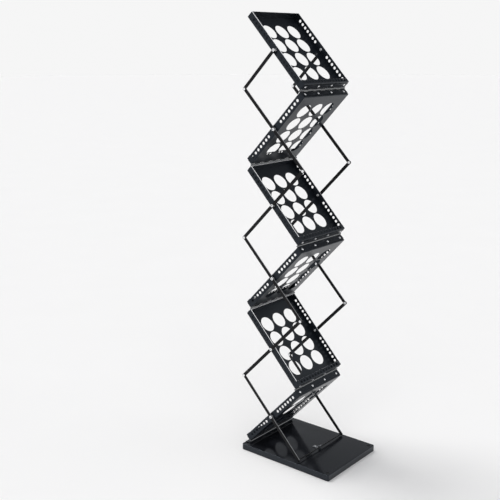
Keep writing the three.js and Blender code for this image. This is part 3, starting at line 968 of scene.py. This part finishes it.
@dataclass
class Arms:
    """Scissor arms, their pivot screws and elbow rivets, and the foot rod."""

    shop: Workshop
    width: float = 11.0
    end_steps: int = 16
    easing: float = 0.35
    pivot_bore: float = 2.9
    elbow_bore: float = 3.9
    rod_bore: float = 2.4
    bore_sides: int = 28
    upward: float = 0.9
    elbow_shank: float = 1.5
    elbow_play: float = 0.4
    elbow_back: Outline = ((0.0, -1.2), (4.0, -1.1), (4.6, -0.6), (4.6, 0.0))
    elbow_front: Outline = ((4.6, 0.0), (4.6, 0.3), (3.8, 0.9), (2.0, 1.2), (0.0, 1.25))
    pivot_shank: float = 2.4
    pivot_shoulder: float = 4.4
    pivot_nut: Outline = ((0.0, -2.6), (4.0, -2.6), (4.4, -2.25), (4.4, 0.0))
    pivot_head: Outline = ((5.2, 0.0), (5.2, 0.9), (4.7, 1.7), (3.6, 2.2), (0.0, 2.3))
    pivot_sides: int = 32
    socket: float = 2.0
    socket_floor: float = 0.9
    socket_sides: int = 6
    rod_head: Outline = ((4.0, 0.0), (4.0, 0.9), (3.2, 1.5), (0.0, 1.5))
    rod_sides: int = 24

    def build(self) -> None:
        """Models the bars and screws of every tray and sets them in place."""
        for number in range(1, SIZES.tray_count + 1):
            for side in Side:
                self._bar(number, side)
                self._pivot(number, side)
        self._foot_rod()

    def _bar(self, number: int, side: Side) -> None:
        """Models one bar, with the elbow rivets if it is an outer one.

        Args:
            number: the tray that it turns on.
            side: the side of the rack.
        """
        inner = number % 2 == 1
        sign = -side.value if inner else side.value
        face = SIZES.arm_inner if inner else SIZES.arm_outer
        low, high = -SIZES.half_arm, SIZES.half_arm
        if number == SIZES.tray_count:
            high = 0.0
        span = sorted((sign * face, sign * (face + SIZES.arm_thickness)))
        bar = self._blank(low, high, span)
        bores = [(0.0, self.pivot_bore)]
        if inner:
            bores += [(low, self.rod_bore if number == 1 else self.elbow_bore), (high, self.elbow_bore)]
        through = (span[0] - OVERCUT, span[1] + OVERCUT)
        cuts = [Shaper.rod(radius, Axis.X, through, (0, y, 0), self.bore_sides) for y, radius in bores]
        Shaper.combine(bar, cuts, Combine.CUT)
        Shaper.ease(bar, self.easing)
        self.shop.coat(bar, Coat.ARM, Coat.BAR_EDGE)
        # Faces that look up get the lighter painted highlight.
        for polygon in bar.data.polygons:
            polygon.material_index = int(polygon.normal.z > self.upward)
        node = f"arm_{number}_{side.label}"
        self.shop.place(bar, f"{node}_bar", node, arm_frame(number))
        Workshop.discard(bar)
        if not inner:
            rivets = Shaper.join([self._elbow(y, sign) for y in (low, high) if y])
            self.shop.coat(rivets, Coat.BRIGHT)
            self.shop.place(rivets, f"{node}_elbows", node, arm_frame(number), stands_in=False)
            Workshop.discard(rivets)

    def _blank(self, low: float, high: float, span: Sequence[float]) -> Obj:
        """Makes a flat bar with round ends.

        Args:
            low: the centre of its lower end along Y.
            high: the centre of its upper end along Y.
            span: its two faces along X.

        Returns:
            The bar.
        """
        half = self.width / 2
        outline = []
        for centre, start in ((high, -math.pi / 2), (low, math.pi / 2)):
            turns = [start + math.pi * step / self.end_steps for step in range(self.end_steps + 1)]
            outline += [(centre + half * math.cos(turn), half * math.sin(turn)) for turn in turns]
        return Shaper.sheet_profile(outline, span)

    def _elbow(self, y: float, sign: int) -> Obj:
        """Models the rivet of an elbow, with a head on either side.

        Args:
            y: its place along the bar.
            sign: the side of the rack in the bar's frame.

        Returns:
            The rivet.
        """
        inner = SIZES.arm_inner - self.elbow_play
        outer = SIZES.arm_outer + SIZES.arm_thickness
        shank = [(self.elbow_shank, inner), (self.elbow_shank, outer)]
        profile = shifted(self.elbow_back, inner) + shank + shifted(self.elbow_front, outer)
        return Shaper.turned(mirrored(profile, sign), Axis.X, (0, y, 0), self.bore_sides)

    def _pivot(self, number: int, side: Side) -> None:
        """Models the shouldered screw that an arm turns on.

        Args:
            number: the tray that it goes through.
            side: the side of the rack.
        """
        inner = number % 2 == 1
        sign = side.value if inner else -side.value
        arm = SIZES.arm_inner if inner else SIZES.arm_outer
        flange = SIZES.width / 2
        nut = flange - SIZES.sheet - SIZES.gap
        front = arm + SIZES.arm_thickness + SIZES.gap
        steps = [
            (self.pivot_shank, nut),
            (self.pivot_shank, flange + SIZES.gap),
            (self.pivot_shoulder, flange + SIZES.gap),
            (self.pivot_shoulder, arm - SIZES.gap),
            (self.pivot_shank, arm - SIZES.gap),
            (self.pivot_shank, front),
        ]
        profile = shifted(self.pivot_nut, nut) + steps + shifted(self.pivot_head, front)
        at = (0, SIZES.along / 2, SIZES.across / 2)
        screw = Shaper.turned(mirrored(profile, sign), Axis.X, at, self.pivot_sides)
        mouth = front + self.pivot_head[-1][1] + OVERCUT
        depth = sorted((sign * (front + self.socket_floor), sign * mouth))
        socket = Shaper.rod(self.socket, Axis.X, depth, at, self.socket_sides)
        Shaper.combine(screw, [socket], Combine.CUT)
        self.shop.coat(screw, Coat.BRIGHT, Coat.RECESS)
        # Faces inside the socket get the dark painted shade.
        for face in screw.data.polygons:
            offset = (face.center - Vector(at)) * Vector((0, 1, 1))
            inside = depth[0] - TOUCH < face.center.x < depth[1] + TOUCH
            in_socket = inside and offset.length < self.socket and len(face.vertices) <= self.socket_sides
            face.material_index = int(in_socket)
        node = f"pivot_{number}_{side.label}"
        self.shop.place(screw, f"{node}_screw", node, tray_frame(number))
        Workshop.discard(screw)

    def _foot_rod(self) -> None:
        """Models the rod between the feet of the lowest arms."""
        end = SIZES.arm_inner + SIZES.arm_thickness + SIZES.gap
        half = [(SIZES.rod, end), *shifted(self.rod_head, end)]
        profile = mirrored(half, -1)[::-1] + half
        rod = Shaper.turned(profile, Axis.X, (0, -SIZES.half_arm, 0), self.rod_sides)
        self.shop.coat(rod, Coat.ARM)
        self.shop.place(rod, "foot_rod_bar", "foot_rod", arm_frame(1))
        Workshop.discard(rod)


@dataclass
class Base:
    """The base board with its screws and the clip for the foot rod."""

    shop: Workshop
    corner: float = 6.0
    corner_steps: int = 8
    easing: float = 1.0
    easing_steps: int = 3
    screw_inset: Pair = (17.5, 13.2)
    screw: Outline = ((0.0, -2.4), (4.8, -2.4), (4.8, -0.5), (4.3, 0.0), (0.0, 0.1))
    screw_sides: int = 32
    recess: float = 5.3
    recess_depth: float = 2.8
    cross: Point = (3.0, 0.55, 1.2)
    clip_width: float = 14.0
    clip_sheet: float = 1.0
    clip_foot: float = 27.0
    clip_room: float = 0.8
    clip_easing: float = 0.25
    clip_screw: Outline = ((0.0, 0.0), (3.2, 0.0), (3.2, 0.6), (2.6, 1.4), (1.4, 1.75), (0.0, 1.8))
    clip_screw_from_toe: float = 8.0
    clip_screw_sides: int = 28
    clip_slot: Point = (4.0, 0.4, 1.05)

    def build(self) -> None:
        """Models the board, screws and clip and sets them in place."""
        self._board()
        self._corner_screws()
        self._clip()

    def _corners(self) -> dict[str, Pair]:
        """Gives the places of the corner screws.

        Returns:
            X and Y of each screw, by its corner.
        """
        x = SIZES.base[0] / 2 - self.screw_inset[0]
        y = SIZES.base[1] / 2 - self.screw_inset[1]
        return {"front_left": (-x, -y), "front_right": (x, -y), "rear_left": (-x, y), "rear_right": (x, y)}

    def _board(self) -> None:
        """Models the board, with a recess for each corner screw."""
        x, y, top = SIZES.base[0] / 2, SIZES.base[1] / 2, SIZES.base[2]
        board = Shaper.block((-x, -y, 0), (x, y, top))
        Shaper.bevel(board, lambda a, b: abs(a.z - b.z) > TOUCH, self.corner, self.corner_steps)
        depth = (top - self.recess_depth, top + 2 * OVERCUT)
        places = self._corners().values()
        cuts = [Shaper.rod(self.recess, Axis.Z, depth, (*at, 0), self.screw_sides) for at in places]
        Shaper.combine(board, cuts, Combine.CUT)
        Shaper.ease(board, self.easing, self.easing_steps)
        self.shop.coat(board, Coat.BOARD)
        self.shop.place(board, "base_slab", "base_board", Matrix.Identity(4))
        Workshop.discard(board)

    def _corner_screws(self) -> None:
        """Models one cross-slotted screw and sets it in every corner."""
        screw = Shaper.turned(self.screw, Axis.Z, (0, 0, 0), self.screw_sides)
        length, width, depth = self.cross
        for x, y in ((length, width), (width, length)):
            slot = Shaper.block((-x, -y, -depth), (x, y, OVERCUT))
            Shaper.combine(screw, [slot], Combine.CUT)
        self.shop.coat(screw, Coat.ARM)
        for corner, (x, y) in self._corners().items():
            where = Matrix.Translation((x, y, SIZES.base[2] - SIZES.gap))
            self.shop.place(screw, f"base_screw_{corner}_head", f"base_screw_{corner}", where)
        Workshop.discard(screw)

    def _clip(self) -> None:
        """Models the hooked spring strip that holds the foot rod, and its screw."""
        room = SIZES.rod + self.clip_room
        riser = SIZES.rod_y - room
        nose = SIZES.rod_y + SIZES.rod
        jaw = SIZES.first_axis[1] + room
        sole = SIZES.base[2] + SIZES.gap
        toe = riser - self.clip_foot
        strip = [
            (toe, sole),
            (riser, sole),
            (riser, jaw),
            (nose, jaw),
            (nose, jaw + self.clip_sheet),
            (riser - self.clip_sheet, jaw + self.clip_sheet),
            (riser - self.clip_sheet, sole + self.clip_sheet),
            (toe, sole + self.clip_sheet),
        ]
        clip = Shaper.sheet_profile(strip, (-self.clip_width / 2, self.clip_width / 2))
        Shaper.ease(clip, self.clip_easing)
        self.shop.coat(clip, Coat.SPRING)
        self.shop.place(clip, "rod_clip_strip", "rod_clip", Matrix.Identity(4))
        y = toe + self.clip_screw_from_toe
        seat = sole + self.clip_sheet + SIZES.gap
        head = Shaper.turned(self.clip_screw, Axis.Z, (0, y, seat), self.clip_screw_sides)
        length, width, floor = self.clip_slot
        crown = seat + self.clip_screw[-1][1] + OVERCUT
        slot = Shaper.block((-length, y - width, seat + floor), (length, y + width, crown))
        Shaper.combine(head, [slot], Combine.CUT)
        self.shop.coat(head, Coat.BRIGHT)
        self.shop.place(head, "rod_clip_screw_head", "rod_clip_screw", Matrix.Identity(4))
        Workshop.discard(clip, head)


@dataclass(frozen=True)
class Lamp:
    """A soft distant lamp."""

    name: str
    towards: Point
    strength: float
    breadth: float


@dataclass
class Studio:
    """Floor, light and camera."""

    sky: tuple[tuple[float, Colour], ...] = (
        (0.26, (0.92, 0.92, 0.92)),
        (0.52, (0.1, 0.105, 0.115)),
        (0.8, (0.1, 0.105, 0.115)),
        (1.0, (0.7, 0.74, 0.8)),
    )
    lamps: tuple[Lamp, ...] = (
        Lamp("key", (0.05, -0.5, 0.86), 1.68, 26.0),
        Lamp("fill", (0.8, 0.5, 0.8), 0.8, 60.0),
        Lamp("rear", (-0.6, 0.66, 0.45), 0.3, 50.0),
    )
    paper: Colour = (0.93, 0.918, 0.906)
    paper_shade: float = 0.98
    paper_grain: Pair = (3.0, 2.0)
    paper_roughness: float = 0.9
    paper_specular: float = 0.1
    floor_radius: float = 40.0
    floor_sides: int = 64
    floor_drop: float = 0.0005
    camera_at: Point = (2.267, 1.5682, 1.3818)
    azimuth: float = 130.33
    elevation: float = 12.87
    roll: float = -0.14
    lens: float = 61.2
    shift: Pair = (0.04, -0.02)

    def build(self) -> None:
        """Sets up the floor, the sky, the lamps and the camera."""
        self._floor()
        self._sky()
        for lamp in self.lamps:
            self._sun(lamp)
        self._camera()
        bpy.context.scene.view_settings.view_transform = "Standard"

    def _floor(self) -> None:
        """Lays a wide sheet of pale paper under the rack."""
        radius = self.floor_radius
        bpy.ops.mesh.primitive_circle_add(vertices=self.floor_sides, radius=radius, fill_type="NGON")
        floor = bpy.context.object
        floor.name = "studio_floor"
        floor.location.z = -self.floor_drop
        material = bpy.data.materials.new("studio_paper")
        material.use_nodes = True
        tree = material.node_tree
        shader = tree.nodes["Principled BSDF"]
        shader.inputs["Roughness"].default_value = self.paper_roughness
        shader.inputs["Specular IOR Level"].default_value = self.paper_specular
        noise = Paint.noise(tree, *self.paper_grain)
        shade = Paint.blend(tree, [self.paper_shade * part for part in self.paper], self.paper)
        tree.links.new(noise.outputs["Fac"], shade.inputs["Factor"])
        tree.links.new(shade.outputs["Result"], shader.inputs["Base Color"])
        floor.data.materials.append(material)

    def _sky(self) -> None:
        """Makes a sky that is white near the horizon, darker above it and bright overhead."""
        world = bpy.data.worlds.new("studio_sky")
        world.use_nodes = True
        bpy.context.scene.world = world
        tree = world.node_tree
        place = tree.nodes.new("ShaderNodeTexCoord")
        height = tree.nodes.new("ShaderNodeSeparateXYZ")
        tree.links.new(place.outputs["Generated"], height.inputs["Vector"])
        ramp = tree.nodes.new("ShaderNodeValToRGB")
        stops = ramp.color_ramp.elements
        for level, _ in self.sky[1:-1]:
            stops.new(level)
        for stop, (level, colour) in zip(stops, self.sky):
            stop.position = level
            stop.color = (*colour, 1.0)
        tree.links.new(height.outputs["Z"], ramp.inputs["Fac"])
        tree.links.new(ramp.outputs["Color"], tree.nodes["Background"].inputs["Color"])

    @staticmethod
    def _sun(lamp: Lamp) -> None:
        """Hangs a lamp.

        Args:
            lamp: its name, direction, strength and breadth in degrees.
        """
        bpy.ops.object.light_add(type="SUN")
        sun = bpy.context.object
        sun.name = f"studio_{lamp.name}"
        sun.rotation_euler = Vector(lamp.towards).to_track_quat("Z", "Y").to_euler()
        sun.data.energy = lamp.strength
        sun.data.angle = math.radians(lamp.breadth)

    def _camera(self) -> None:
        """Sets the camera at the photograph's viewing angle."""
        bpy.ops.object.camera_add(location=self.camera_at)
        camera = bpy.context.object
        turn, rise = math.radians(self.azimuth), math.radians(self.elevation)
        back = Vector((math.sin(turn) * math.cos(rise), -math.cos(turn) * math.cos(rise), math.sin(rise)))
        look = back.to_track_quat("Z", "Y").to_matrix().to_4x4()
        camera.rotation_euler = (look @ Matrix.Rotation(math.radians(self.roll), 4, "Z")).to_euler()
        camera.data.lens = self.lens
        camera.data.shift_x, camera.data.shift_y = self.shift
        bpy.context.scene.camera = camera


def main() -> None:
    """Builds the rack's looks and the studio."""
    shop = Workshop()
    for assembly in (Base(shop), Trays(shop), Hinges(shop), Arms(shop)):
        assembly.build()
    Studio().build()


if __name__ == "__main__":
    main()
